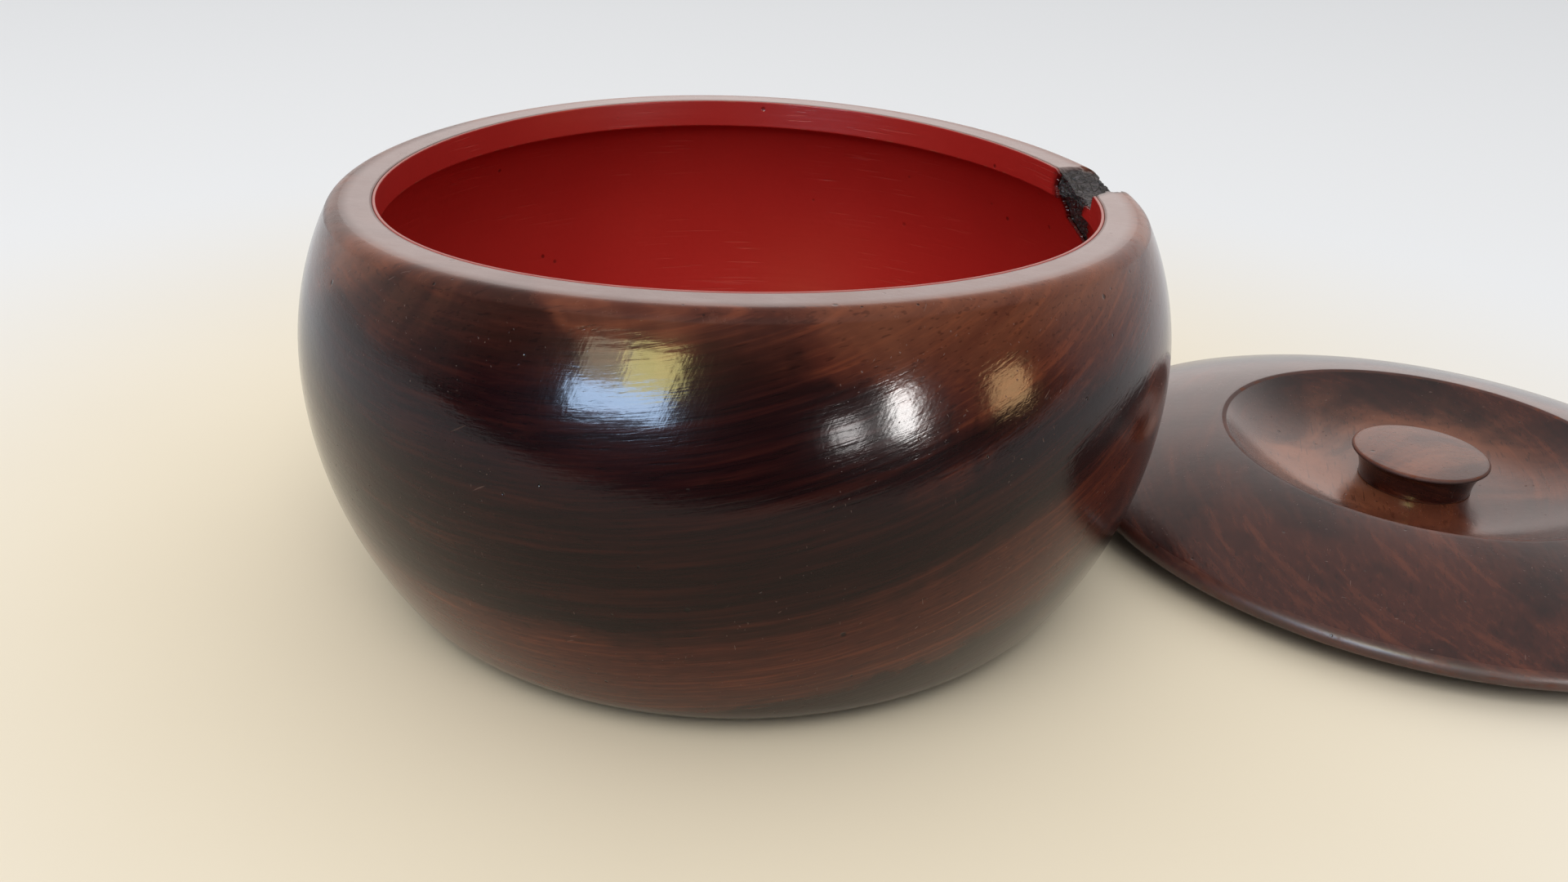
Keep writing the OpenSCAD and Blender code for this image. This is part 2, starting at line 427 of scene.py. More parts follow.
def lid_wood_shape(r, z, normal_r, normal_z, azimuth):
    """Nicks along the lid's outer edge, where the lacquer has flaked, and paler wood in the recess, less pale
    on the side in front of the knob as painted shade.
    """
    edge = smooth_step(LID_R - 2.2, LID_R - 0.4, r)
    flakes = np.zeros_like(r)
    near = edge > 0
    wide = ragged(r[near], z[near], azimuth[near], 7.0, 21.0, 3)
    fine = ragged(r[near], z[near], azimuth[near], 1.6, 33.0, 4)
    flakes[near] = edge[near] * smooth_step(0.38, 0.55, wide) * smooth_step(0.15, 0.4, fine)
    lost = 0.22 * flakes
    in_recess = smooth_step(CREST_R - PALE_INSIDE_CREST[0], CREST_R - PALE_INSIDE_CREST[1], r)
    on_top = smooth_step(-0.1, 0.4, normal_z)
    # Painted shade: less pale towards the side in front of the knob, where the knob's dark reflection lies
    pale_side = smooth_step(-0.6, 0.6, np.cos(np.radians(azimuth - LID_PALE_AZIMUTH)))
    pale = in_recess * on_top * (0.4 + 0.9 * pale_side)
    return r - normal_r * lost, z - normal_z * lost, {"flake": flakes, "pale": pale}


def knob_wood_shape(r, z, normal_r, normal_z, azimuth):
    """Paler colour on the knob's upward faces, painted light that leaves the neck shaded; its shape stays as
    it is.
    """
    # Painted light: only the upward faces are pale, so the neck stays shaded
    return r, z, {"pale": smooth_step(0.3, 0.8, normal_z)}


# Meshes

def columns(fine_zone=None):
    """Azimuths of a lathed mesh in degrees, close together in the fine zone."""
    if fine_zone is None:
        return np.arange(0, 360, COARSE_TURN)
    start, end = fine_zone
    fine = np.arange(start, end, FINE_TURN)
    count = math.ceil((360 - (end - start)) / COARSE_TURN)
    coarse = np.linspace(end, start + 360, count, endpoint=False)
    return np.concatenate([fine, coarse])


def outline_normals(points):
    """Unit normals that point out of the material, for an outline with the material on its left."""
    steps = np.diff(points, axis=0)
    steps = steps / np.linalg.norm(steps, axis=1)[:, None]
    mean = np.vstack([steps[:1], steps[:-1] + steps[1:], steps[-1:]])
    mean = mean / np.linalg.norm(mean, axis=1)[:, None]
    return np.column_stack([mean[:, 1], -mean[:, 0]])


def edge_wear_and_highlight(points):
    """How exposed each point of an outline is: near 1 on tight convex corners, 0 on flats and hollows. It
    drives edge wear and a painted edge highlight.
    """
    steps = np.diff(points, axis=0)
    lengths = np.linalg.norm(steps, axis=1)
    cross = steps[:-1, 0] * steps[1:, 1] - steps[:-1, 1] * steps[1:, 0]
    turn = np.arcsin(np.clip(cross / (lengths[:-1] * lengths[1:]), -1, 1))
    curvature = turn / ((lengths[:-1] + lengths[1:]) / 2)
    return np.concatenate([[0], smooth_step(0.12, 0.9, curvature), [0]])


def lathe(name, points, azimuths, shape=None, at_x=0.0):
    """A closed turned mesh from an outline that runs from axis to axis.

    shape, if there is one, takes the grid and its normals, and returns the changed grid and point attributes.
    """
    closed = np.vstack([points, points[:1]])
    area = np.sum(closed[:-1, 0] * closed[1:, 1] - closed[1:, 0] * closed[:-1, 1])
    if area < 0:
        points = points[::-1]
    normals = outline_normals(points)
    wear_and_highlight = edge_wear_and_highlight(points)
    rows, cols = len(points) - 2, len(azimuths)
    grid = np.ones((rows, cols))
    r, z = points[1:-1, :1] * grid, points[1:-1, 1:] * grid
    azimuth = azimuths[None, :] * grid
    marks = {}
    if shape is not None:
        r, z, marks = shape(r, z, normals[1:-1, :1] * grid, normals[1:-1, 1:] * grid, azimuth)
    marks["wear_and_highlight"] = wear_and_highlight[1:-1, None] * grid
    a = np.radians(azimuth)
    body = np.stack([r * np.cos(a), r * np.sin(a), z], -1).reshape(-1, 3)
    ends = np.array([[0, 0, points[0, 1]], [0, 0, points[-1, 1]]])
    verts = np.vstack([body, ends]) * MM
    index = np.arange(rows * cols).reshape(rows, cols)
    turned = np.roll(index, -1, axis=1)
    quads = np.stack([index[:-1], turned[:-1], turned[1:], index[1:]], -1).reshape(-1, 4)
    first, last = rows * cols, rows * cols + 1
    fans = [[first, b, a] for a, b in zip(index[0], turned[0])]
    fans += [[last, a, b] for a, b in zip(index[-1], turned[-1])]
    mesh = bpy.data.meshes.new(name)
    mesh.from_pydata(verts.tolist(), [], quads.tolist() + fans)
    mesh.shade_smooth()
    for mark, values in marks.items():
        attribute = mesh.attributes.new(mark, "FLOAT", "POINT")
        attribute.data.foreach_set("value", np.append(values.ravel(), [0, 0]).astype(np.float32))
    piece = bpy.data.objects.new(name, mesh)
    piece.location.x = at_x * MM
    bpy.context.scene.collection.objects.link(piece)
    return piece


# Materials

class Graph:
    """Builds a node tree. Inputs given as sockets are linked, and other inputs are set as values."""

    def __init__(self, tree):
        tree.nodes.clear()
        self.tree = tree

    def node(self, kind, inputs=None, **settings):
        """Adds a node; inputs maps socket names or numbers to sockets or values."""
        made = self.tree.nodes.new(kind)
        for key, value in settings.items():
            setattr(made, key, value)
        for key, value in (inputs or {}).items():
            if isinstance(value, bpy.types.NodeSocket):
                self.tree.links.new(value, made.inputs[key])
            else:
                made.inputs[key].default_value = value
        return made

    def math(self, operation, a, b=0.0, clamp=False):
        """One arithmetic step."""
        return self.node("ShaderNodeMath", {0: a, 1: b}, operation=operation, use_clamp=clamp).outputs[0]

    def length(self, vector):
        """Length of a vector."""
        return self.node("ShaderNodeVectorMath", {0: vector}, operation="LENGTH").outputs["Value"]

    def dot(self, a, b):
        """Dot product with a fixed direction."""
        return self.node("ShaderNodeVectorMath", {0: a, 1: b}, operation="DOT_PRODUCT").outputs["Value"]

    def vector(self, x, y, z):
        """Combines three values."""
        return self.node("ShaderNodeCombineXYZ", {0: x, 1: y, 2: z}).outputs[0]

    def scaled(self, value, factor, add=0.0):
        """value * factor + add."""
        return self.node("ShaderNodeMath", {0: value, 1: factor, 2: add}, operation="MULTIPLY_ADD").outputs[0]

    def noise(self, vector, scale=1.0, detail=2.0, roughness=0.5, distortion=0.0):
        """Fractal noise of 0 to 1."""
        return self.node("ShaderNodeTexNoise", {
            "Vector": vector,
            "Scale": scale,
            "Detail": detail,
            "Roughness": roughness,
            "Distortion": distortion,
        }).outputs["Fac"]

    def between(self, value, low, high):
        """0 below low, 1 above high, smooth between."""
        inputs = {"Value": value, "From Min": low, "From Max": high}
        return self.node("ShaderNodeMapRange", inputs, interpolation_type="SMOOTHSTEP").outputs["Result"]

    def mixed(self, factor, a, b):
        """Colour a where factor is 0 and b where it is 1."""
        inputs = {"Factor": factor, 6: a, 7: b}
        return self.node("ShaderNodeMix", inputs, data_type="RGBA").outputs[2]

    def tinted(self, colour, factor, by):
        """The colour multiplied by another, as far as factor says."""
        inputs = {"Factor": factor, 6: colour, 7: by}
        return self.node("ShaderNodeMix", inputs, data_type="RGBA", blend_type="MULTIPLY").outputs[2]

    def ramp(self, value, stops):
        """Colour ramp; stops is a list of (position, colour)."""
        made = self.node("ShaderNodeValToRGB", {"Fac": value})
        elements = made.color_ramp.elements
        while len(elements) < len(stops):
            elements.new(0.5)
        for element, (position, colour) in zip(elements, stops):
            element.position = position
            element.color = (*colour, 1)
        return made.outputs["Color"]

    def bump(self, height, depth, normal=None):
        """Relief; depth is the height in metres that a change of 1 stands for."""
        inputs = {"Height": height, "Distance": depth, "Strength": 1.0}
        if normal is not None:
            inputs["Normal"] = normal
        return self.node("ShaderNodeBump", inputs).outputs["Normal"]

    def mark(self, name):
        """A point attribute of the mesh."""
        return self.node("ShaderNodeAttribute", attribute_name=name, attribute_type="GEOMETRY").outputs["Fac"]


def rgba(r, g, b):
    """A colour value for a socket."""
    return (r, g, b, 1)


def new_material(name):
    """An empty node material and its graph."""
    material = bpy.data.materials.new(name)
    material.use_nodes = True
    return material, Graph(material.node_tree)


def scratches(g, point, angle, seed):
    """Sparse thin straight marks that run at an angle, in degrees, across the surface."""
    turn = tuple(math.radians(angle * share) for share in (1.0, 0.7, 1.3))
    inputs = {"Vector": point, "Rotation": turn, "Location": (seed, seed, seed)}
    turned = g.node("ShaderNodeMapping", inputs).outputs[0]
    long_way = g.node("ShaderNodeMapping", {"Vector": turned, "Scale": (110, 2600, 2600)}).outputs[0]
    return g.between(g.noise(long_way, 1.0, 0.0), 0.83, 0.87)


def pits(g, point, scale, rare):
    """Small round pits, one in a random few of the cells of a Voronoi pattern."""
    cells = g.node("ShaderNodeTexVoronoi", {"Vector": point, "Scale": scale})
    chosen = g.between(g.dot(cells.outputs["Color"], (1, 0, 0)), rare, rare + 0.002)
    round_spot = g.between(cells.outputs["Distance"], 0.24, 0.10)
    return g.math("MULTIPLY", chosen, round_spot)


def char_shader(g, point):
    """Burnt wood: black, cracked and partly shiny."""
    crust = g.noise(point, 900, 5, 0.65)
    cells = g.node("ShaderNodeTexVoronoi", {"Vector": point, "Scale": 620}, feature="DISTANCE_TO_EDGE")
    open_crack = g.between(cells.outputs["Distance"], 0.0, 0.09)
    colour = g.ramp(crust, [
        (0.3, (0.004, 0.004, 0.005)),
        (0.55, (0.026, 0.024, 0.027)),
        (0.75, (0.11, 0.10, 0.11)),
    ])
    colour = g.mixed(open_crack, rgba(0.001, 0.001, 0.001), colour)
    rough = g.scaled(crust, 0.5, 0.22)
    relief = g.bump(crust, 0.00035)
    relief = g.bump(open_crack, 0.0002, relief)
    inputs = {"Base Color": colour, "Roughness": rough, "Normal": relief, "Specular IOR Level": 0.6}
    return g.node("ShaderNodeBsdfPrincipled", inputs).outputs[0]


def finish_material(g, surface, point, burns):
    """Connects the surface, with burnt wood over it where the mesh says so."""
    if burns:
        burnt = g.between(g.mark("char"), 0.35, 0.6)
        shaders = {"Fac": burnt, 1: surface, 2: char_shader(g, point)}
        surface = g.node("ShaderNodeMixShader", shaders).outputs[0]
    g.node("ShaderNodeOutputMaterial", {"Surface": surface})


PORE_SLANT = (0.35, -0.48, 0.0)     # turns the pores that show in the gloss away from upright


def wood_material(name, ring_axis, fibre_axis, shift, warmth, coat_ior, coat_rough, layers=(), burns=False):
    """Dark reddish-brown wood under clear lacquer.

    The rings lie across ring_axis, and the fibres run along fibre_axis. shift is added to each place, so that
    two pieces don't show the same pattern. warmth multiplies the colours of the wood.
    Each of the layers has an axis, its lowest and highest distance along it in mm, and how much redder it is.
    """
    material, g = new_material(name)
    ring_axis = Vector(ring_axis).normalized()
    fibre_axis = (Vector(fibre_axis) - Vector(fibre_axis).dot(ring_axis) * ring_axis).normalized()
    side_axis = ring_axis.cross(fibre_axis)
    place = g.node("ShaderNodeTexCoord").outputs["Object"]
    point = g.node("ShaderNodeVectorMath", {0: place, 1: shift}, operation="ADD").outputs[0]
    along = g.dot(point, fibre_axis)
    side = g.dot(point, side_axis)

    # The rings waver, so their lines on the turned surface drift and fork
    slow = g.noise(point, 13, 2)
    quick = g.noise(point, 75, 2)
    waver = g.math("ADD", g.scaled(slow, 0.0035), g.scaled(quick, 0.0005))
    through = g.math("ADD", g.dot(point, ring_axis), waver)

    def grain(per_along, per_side, per_ring, detail, roughness=0.55):
        """Noise stretched along the fibres, with its scales per metre."""
        across = g.scaled(side, per_side)
        stretched = g.vector(g.scaled(along, per_along), across, g.scaled(through, per_ring))
        return g.noise(stretched, 1.0, detail, roughness)

    bands = grain(9, 14, 150, 3)
    streaks = grain(30, 90, 1000, 3, 0.6)
    fibres = grain(110, 800, 2600, 2)
    pores = g.between(grain(150, 1500, 2600, 1), 0.60, 0.72)
    figure = g.noise(point, 26, 4, 0.6, 1.2)

    # Near-black heartwood with red-brown clouds, and fine streaks along the fibres in both
    tones = [rgba(*(warmth * v for v in tone)) for tone in (
        (0.0075, 0.0010, 0.0016), (0.017, 0.0023, 0.0027), (0.068, 0.0135, 0.008), (0.15, 0.035, 0.014),
    )]
    cloud = g.math("ADD", g.scaled(figure, 0.5, -0.02), g.scaled(bands, 0.4))
    # Redder layers; the bowl's one near the rim is painted light
    for axis, low, high, redder in layers:
        level = g.scaled(g.math("ADD", g.dot(place, axis), g.scaled(figure, 0.012, -0.006)), 1 / MM)
        inside = g.math("MULTIPLY", g.between(level, low - 5, low + 5), g.between(level, high + 5, high - 5))
        cloud = g.math("ADD", cloud, g.scaled(inside, redder))
    cloud = g.between(cloud, 0.42, 0.60)
    ground = g.mixed(g.between(streaks, 0.35, 0.65), tones[0], tones[1])
    colour = g.mixed(g.scaled(cloud, 0.8), ground, tones[2])
    streak = g.math("MULTIPLY", g.between(streaks, 0.50, 0.74), g.scaled(cloud, 0.65, 0.08))
    colour = g.mixed(streak, colour, tones[3])
    lines = g.math("MULTIPLY", g.between(fibres, 0.45, 0.80), g.scaled(cloud, 0.36, 0.04))
    colour = g.mixed(lines, colour, tones[3])
    # The pale mark: paler wood in the lid's recess, and painted light under the bowl's rim and on the knob's
    # top
    pale = g.math("MULTIPLY", g.mark("pale"), g.scaled(g.between(figure, 0.38, 0.66), 0.55, 0.10))
    colour = g.mixed(pale, colour, rgba(0.21, 0.075, 0.036))
    colour = g.tinted(colour, g.scaled(pores, 0.4), rgba(0.12, 0.08, 0.08))

    # Scratches and pits in the lacquer, and worn edges; convex edges are also painted paler as a painted
    # highlight
    marks = g.math("MAXIMUM", scratches(g, point, 27, 1.7), scratches(g, point, -48, 4.1))
    marks = g.math("MAXIMUM", marks, scratches(g, point, 83, 8.9))
    marks = g.math("MULTIPLY", marks, g.between(g.noise(point, 55, 1), 0.45, 0.6))
    holes = g.math("MAXIMUM", pits(g, point, 420, 0.985), pits(g, point, 800, 0.985))
    rub = g.math("MULTIPLY", g.mark("wear_and_highlight"), g.between(g.noise(point, 320, 4, 0.7), 0.50, 0.68))
    rub = g.math("MAXIMUM", rub, g.mark("flake"))
    colour = g.mixed(g.scaled(marks, 0.4), colour, rgba(0.16, 0.09, 0.07))
    # Convex edges are paler all along: partly edge wear, partly a painted highlight
    colour = g.mixed(g.scaled(g.mark("wear_and_highlight"), 0.18), colour, rgba(0.22, 0.075, 0.05))
    colour = g.mixed(g.scaled(rub, 0.55), colour, rgba(0.17, 0.062, 0.034))
    colour = g.mixed(g.scaled(holes, 0.8), colour, rgba(0.004, 0.002, 0.002))
    if burns:
        # The flat rim is greyish pink in patches
        patches = g.noise(point, 130, 4, 0.65)
        rim_grey = g.math("MULTIPLY", g.mark("rim"), g.scaled(patches, 0.5, 0.62), clamp=True)
        colour = g.mixed(rim_grey, colour, rgba(0.22, 0.17, 0.16))
        colour = g.tinted(colour, g.mark("soot"), rgba(0.1, 0.09, 0.1))

    smears = g.noise(point, 38, 3, 0.6)
    coat_rough = g.scaled(smears, 0.08, coat_rough)
    for damage, rougher in ((marks, 0.3), (rub, 0.25), (g.mark("wear_and_highlight"), 0.5)):
        coat_rough = g.math("ADD", coat_rough, g.scaled(damage, rougher))
    wood_rough = g.scaled(fibres, 0.25, 0.30)
    relief = g.bump(g.noise(point, 42, 1), 0.00022)
    relief = g.bump(g.noise(point, 620, 2, 0.5), 0.000016, relief)
    relief = g.bump(streaks, 0.00002, relief)
    relief = g.bump(fibres, 0.000012, relief)
    slanted = g.node("ShaderNodeMapping", {"Vector": point, "Rotation": PORE_SLANT}).outputs[0]
    long_way = g.node("ShaderNodeMapping", {"Vector": slanted, "Scale": (2300, 2300, 520)}).outputs[0]
    relief = g.bump(g.noise(long_way, 1.0, 1), 0.000008, relief)
    dents = g.math("ADD", g.scaled(holes, -1.0), g.math("ADD", g.scaled(marks, -0.4), g.scaled(pores, -0.05)))
    relief = g.bump(dents, 0.00005, relief)
    coat = g.math("SUBTRACT", g.scaled(rub, -0.6, 1.0), g.scaled(g.mark("wear_and_highlight"), 0.35), clamp=True)
    surface = g.node("ShaderNodeBsdfPrincipled", {
        "Base Color": colour,
        "Roughness": wood_rough,
        "Specular IOR Level": 0.02,
        "Coat Weight": coat,
        "Coat Roughness": coat_rough,
        "Coat IOR": coat_ior,
        "Normal": relief,
        "Coat Normal": relief,
    }).outputs[0]
    finish_material(g, surface, point, burns)
    return material


def lacquer_material(name, burns=False):
    """Red lacquer, semi-gloss, with faint turning marks and the rub of stones."""
    material, g = new_material(name)
    point = g.node("ShaderNodeTexCoord").outputs["Object"]
    split = g.node("ShaderNodeSeparateXYZ", {0: point}).outputs
    radius = g.length(g.vector(split[0], split[1], 0.0))
    turn = g.math("ARCTAN2", split[1], split[0])
    cloud = g.noise(point, 26, 3, 0.55)
    fine = g.noise(point, 900, 3, 0.6)
    colour = g.mixed(cloud, rgba(0.345, 0.015, 0.014), rgba(0.43, 0.028, 0.021))
    colour = g.tinted(colour, g.scaled(fine, 0.30), rgba(0.72, 0.62, 0.6))

    # Marks of the lathe run round the axis; stones leave short arcs in the same sense
    rings = g.noise(g.vector(g.scaled(radius, 900), 0.0, g.scaled(split[2], 900)), 1.0, 2)
    arcs = g.noise(g.vector(g.scaled(radius, 2400), g.scaled(turn, 5), g.scaled(split[2], 2400)), 1.0, 1)
    rubbed = g.math("MULTIPLY", g.between(arcs, 0.64, 0.72), g.between(g.noise(point, 45, 2), 0.42, 0.62))
    specks = pits(g, point, 420, 0.975)
    rub = g.math("MULTIPLY", g.mark("wear_and_highlight"), g.between(g.noise(point, 420, 3, 0.7), 0.52, 0.66))
    colour = g.mixed(g.scaled(rubbed, 0.18), colour, rgba(0.55, 0.09, 0.06))
    colour = g.mixed(g.scaled(specks, 0.6), colour, rgba(0.05, 0.004, 0.003))
    colour = g.mixed(g.scaled(rub, 0.5), colour, rgba(0.30, 0.08, 0.05))
    if burns:
        colour = g.mixed(g.scaled(g.mark("rim"), 0.7), colour, rgba(0.30, 0.15, 0.13))
        colour = g.tinted(colour, g.mark("soot"), rgba(0.22, 0.18, 0.2))

    rough = g.math("ADD", g.scaled(cloud, 0.16, 0.26), g.scaled(rubbed, 0.15))
    relief = g.bump(g.noise(point, 48, 1), 0.00022)
    relief = g.bump(rings, 0.00003, relief)
    relief = g.bump(g.noise(point, 700, 2), 0.000018, relief)
    dents = g.math("ADD", g.scaled(specks, -1.0), g.scaled(rubbed, -0.3))
    relief = g.bump(dents, 0.00008, relief)
    surface = g.node("ShaderNodeBsdfPrincipled", {
        "Base Color": colour,
        "Roughness": rough,
        "Specular IOR Level": 0.15,
        "Coat Weight": 0.12,
        "Coat Roughness": 0.16,
        "Normal": relief,
        "Coat Normal": relief,
    }).outputs[0]
    finish_material(g, surface, point, burns)
    return material


# Pieces of the object

def prepared(outline, step_at, soft_edge=0.0):
    """An outline ready to be lathed, with soft corners and no long pieces."""
    outline = distinct(outline)
    if soft_edge:
        outline = softened(outline, soft_edge)
    return filled(outline, step_at)


bowl_wood = lathe(
    "bowl_wood",
    prepared(np.vstack([bowl_outside(), bowl_inside(LACQUER_T)[::-1]]), bowl_step, BOWL_SOFT_EDGE),
    columns(BURN_ZONE),
    bowl_wood_shape,
)
bowl_lacquer = lathe(
    "bowl_lacquer",
    prepared(np.vstack([bowl_inside(0), bowl_inside(LACQUER_T)[::-1]]), bowl_step, BOWL_SOFT_EDGE),
    columns(BURN_ZONE),
    bowl_lacquer_shape,
)
lid_wood = lathe(
    "lid_wood",
    prepared(lid_wood_outline(), lambda p: LID_STEP, LID_SOFT_EDGE),
    columns(LID_FINE_ZONE),
    lid_wood_shape,
    LID_X,
)
lid_lacquer = lathe(
    "lid_lacquer",
    prepared(np.vstack([lid_hollow(0), lid_hollow(LACQUER_T)[::-1]]), lambda p: COARSE_STEP),
    columns(),
    None,
    LID_X,
)
knob_wood = lathe(
    "knob_wood",
    prepared(knob_outline(), lambda p: KNOB_STEP, KNOB_SOFT_EDGE),
    columns(),
    knob_wood_shape,
    LID_X,
)

# Each redder layer: an axis, its lowest and highest distance along it in mm, and how much redder. The bowl's
# first is a layer of the wood; its second, near the rim, is painted light on the shoulder
BOWL_LAYERS_AND_SHOULDER_LIGHT = [
    ((-0.22, -0.30, 0.93), 27, 46, 0.17),
    # Painted light: redder near the rim, where the shoulder faces the light from above
    ((0.16, 0, 0.99), 60, 90, 0.19),
]
LID_LAYERS = [((0, 0, 1), -20, 30, 0.07)]

bowl_gloss = wood_material(
    "bowl_wood_lacquered",
    ring_axis=(-0.22, -0.30, 0.93),
    fibre_axis=(1, 0, 0),
    shift=(0.31, 0.17, 0.05),
    warmth=1.0,
    coat_ior=1.29,
    coat_rough=0.092,
    layers=BOWL_LAYERS_AND_SHOULDER_LIGHT,
    burns=True,
)
lid_gloss = wood_material(
    "lid_wood_lacquered",
    ring_axis=(0.16, -0.12, 0.98),
    fibre_axis=(0.4, 1, 0),
    shift=(0.72, 0.4, 0.1),
    warmth=0.72,
    coat_ior=1.64,
    coat_rough=0.16,
    layers=LID_LAYERS,
)
knob_gloss = wood_material(
    "knob_wood_lacquered",
    ring_axis=(0.3, 0.2, 0.93),
    fibre_axis=(1, 0.2, 0),
    shift=(0.11, 0.63, 0.27),
    warmth=1.0,
    coat_ior=1.55,
    coat_rough=0.17,
    layers=LID_LAYERS,
)

for piece, body, node, slot, material in [
    (bowl_wood, "bowl", "bowl_shell", "wood", bowl_gloss),
    (bowl_lacquer, "bowl", "bowl_lining", "red_lacquer", lacquer_material("red_lacquer_bowl", True)),
    (lid_wood, "lid", "lid_plate", "wood", lid_gloss),
    (lid_lacquer, "lid", "lid_lining", "red_lacquer", lacquer_material("red_lacquer_lid")),
    (knob_wood, "lid", "lid_knob", "wood", knob_gloss),
]:
    piece.data.materials.append(material)
    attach(piece, body)
    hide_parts(node)


# Stage: a pale floor with painted shade in front that the camera doesn't see, soft light from all round, and
# a few bright panels in front

FLOOR_DROP = 0.0002     # keeps the floor just clear of the faces that stand on it
FLOOR_HALF = 4.0
PAINTED_SHADE_FROM = 0.19        # distance in front of the bowl's axis where reflections and bounced light see a dark floor: painted shade
PAINTED_SHADE_BLUR = 0.02
CREAM_TO = 0.08         # the floor is cream up to here, and white from WHITE_FROM on
WHITE_FROM = 0.30


def floor_material():
    """Cream near the object and white further off. In front, only the camera sees it pale; other rays see it
    near-black there, as painted shade.
    """
    material, g = new_material("floor")
    point = g.node("ShaderNodeTexCoord").outputs["Object"]
    mottle = g.noise(point, 9, 3)
    cream = g.mixed(mottle, rgba(0.655, 0.58, 0.445), rgba(0.70, 0.625, 0.485))
    colour = g.mixed(g.between(g.length(point), CREAM_TO, WHITE_FROM), cream, rgba(0.67, 0.68, 0.69))
    bounced = g.scaled(g.node("ShaderNodeLightPath").outputs["Is Camera Ray"], -1.0, 1.0)
    # Painted shade: in front, the floor is near-black to every ray but the camera's
    painted_shade = g.between(g.dot(point, (0, -1, 0)), PAINTED_SHADE_FROM - PAINTED_SHADE_BLUR, PAINTED_SHADE_FROM + PAINTED_SHADE_BLUR)
    colour = g.mixed(g.math("MULTIPLY", bounced, painted_shade), colour, rgba(0.02, 0.015, 0.015))
    relief = g.bump(g.noise(point, 260, 3), 0.00002)
    surface = g.node("ShaderNodeBsdfDiffuse", {"Color": colour, "Normal": relief}).outputs[0]
    g.node("ShaderNodeOutputMaterial", {"Surface": surface})
    return material


floor_mesh = bpy.data.meshes.new("floor")
corners = [(x * FLOOR_HALF, y * FLOOR_HALF, -FLOOR_DROP) for x, y in ((-1, -1), (1, -1), (1, 1), (-1, 1))]
floor_mesh.from_pydata(corners, [], [(0, 1, 2, 3)])
floor = bpy.data.objects.new("floor", floor_mesh)
bpy.context.scene.collection.objects.link(floor)
floor.data.materials.append(floor_material())


def towards(azimuth, elevation):
    """Direction from the bowl; azimuth is in degrees from -Y towards +X."""
    a, e = math.radians(azimuth), math.radians(elevation)
    return Vector((math.sin(a) * math.cos(e), -math.cos(a) * math.cos(e), math.sin(e)))


def panel(name, azimuth, elevation, wide, high, colour, radiance, distance=1.3):
    """A bright rectangle seen from the bowl in a given direction; wide and high are its angles in degrees."""
    light = bpy.data.lights.new(name, "AREA")
    light.shape = "RECTANGLE"
    light.size = 2 * distance * math.tan(math.radians(wide / 2))
    light.size_y = 2 * distance * math.tan(math.radians(high / 2))
    light.energy = radiance * math.pi * light.size * light.size_y
    light.color = colour
    lamp = bpy.data.objects.new(name, light)
    front = Vector((0, -BELLY_R, BELLY_Z)) * MM
    lamp.location = front + towards(azimuth, elevation) * distance
    lamp.rotation_euler = (-towards(azimuth, elevation)).to_track_quat("-Z", "Y").to_euler()
    lamp.visible_camera = False
    bpy.context.scene.collection.objects.link(lamp)
    return lamp


for name, azimuth, elevation, wide, high, colour, radiance in [
    ("panel_blue", -35.5, 9.5, 24, 9, (0.50, 0.70, 1.0), 47),
    ("panel_yellow", -28, 20, 13, 12, (1.0, 0.90, 0.36), 27),
    ("panel_grey", -40, 20, 12, 12, (1.0, 0.92, 0.66), 9),
    ("panel_white", 35, -1, 6, 24, (1.0, 0.97, 0.95), 72),
    ("panel_white_tail", 35.5, -20, 6, 12, (1.0, 0.93, 0.90), 20),
    ("panel_small", 21, -0.5, 7, 8, (1.0, 0.96, 0.95), 36),
    ("panel_tan", 64, -0.5, 11, 18, (1.0, 0.62, 0.30), 15),
    ("panel_faint", 13, -9, 9, 10, (1.0, 0.82, 0.40), 13),
]:
    # Seen in the gloss only: the windows they stand for are too far off to light the front
    panel(name, azimuth, elevation, wide, high, colour, radiance).visible_diffuse = False

softbox = panel("softbox", -18, 52, 56, 36, (1.0, 0.98, 0.95), 3.0)
softbox.visible_glossy = False


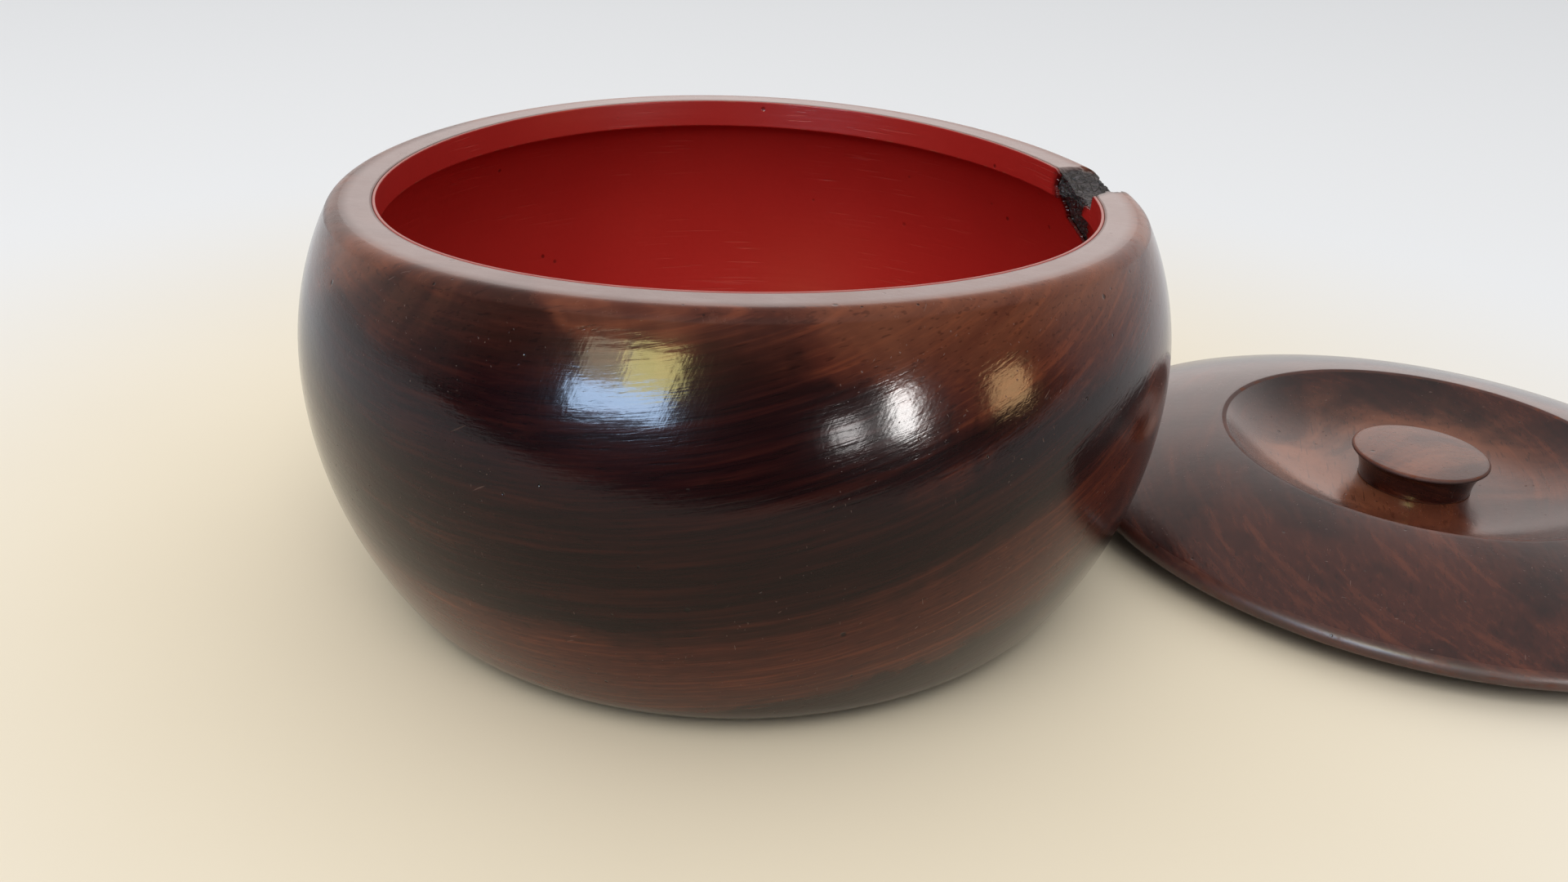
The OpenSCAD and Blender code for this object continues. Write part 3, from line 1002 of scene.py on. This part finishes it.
def studio_world():
    """Even pale light, dim in front and a little warmer in reflections; the camera sees a plain backdrop."""
    world = bpy.data.worlds.new("studio")
    bpy.context.scene.world = world
    world.use_nodes = True
    g = Graph(world.node_tree)
    direction = g.node("ShaderNodeTexCoord").outputs["Generated"]
    split = g.node("ShaderNodeSeparateXYZ", {0: direction}).outputs
    walls = g.math("ADD", g.scaled(split[0], 0.15, 0.62), g.scaled(split[1], 0.55))
    rays = g.node("ShaderNodeLightPath").outputs
    ceiling_level = g.scaled(rays["Is Glossy Ray"], -0.72, 1.2)
    ceiling = g.between(split[2], 0.44, 0.78)
    level = g.node("ShaderNodeMix", {"Factor": ceiling, "A": walls, "B": ceiling_level}).outputs["Result"]
    front = g.between(g.dot(direction, tuple(towards(2, 0))), 0.05, 0.38)
    low = g.between(split[2], 0.62, 0.30)
    dim = g.math("MULTIPLY", front, low)
    reflected = g.vector(g.scaled(level, 1.08), g.scaled(level, 0.95), g.scaled(level, 0.91))
    light = g.mixed(rays["Is Glossy Ray"], g.vector(level, level, g.scaled(level, 1.01)), reflected)
    light = g.mixed(dim, light, rgba(0.022, 0.018, 0.02))
    colour = g.mixed(rays["Is Camera Ray"], light, rgba(0.78, 0.80, 0.81))
    backdrop = g.node("ShaderNodeBackground", {"Color": colour, "Strength": 1.0}).outputs[0]
    g.node("ShaderNodeOutputWorld", {"Surface": backdrop})


studio_world()
bpy.context.scene.view_settings.view_transform = "Standard"

# Camera: above the near side of the bowl, looking down into it
CAMERA_AT = Vector((-0.0185, -0.2208, 0.1262))
CAMERA_HEADING = math.radians(7.07)     # from +Y towards +X
CAMERA_PITCH = math.radians(25.77)      # below the horizon
CAMERA_ROLL = math.radians(1.90)
SENSOR_WIDTH = 36                       # mm
FOCAL_LENGTH = 30.09375                 # mm

camera_data = bpy.data.cameras.new("camera")
camera_data.sensor_width = SENSOR_WIDTH
camera_data.lens = FOCAL_LENGTH
camera_data.clip_start = 0.01
camera = bpy.data.objects.new("camera", camera_data)
bpy.context.scene.collection.objects.link(camera)
ahead = Vector((
    math.sin(CAMERA_HEADING) * math.cos(CAMERA_PITCH),
    math.cos(CAMERA_HEADING) * math.cos(CAMERA_PITCH),
    -math.sin(CAMERA_PITCH),
))
level = Vector((math.cos(CAMERA_HEADING), -math.sin(CAMERA_HEADING), 0))
upright = level.cross(ahead)
right = level * math.cos(CAMERA_ROLL) + upright * math.sin(CAMERA_ROLL)
up = upright * math.cos(CAMERA_ROLL) - level * math.sin(CAMERA_ROLL)
camera.matrix_world = Matrix.Translation(CAMERA_AT) @ Matrix((right, up, -ahead)).transposed().to_4x4()
bpy.context.scene.camera = camera
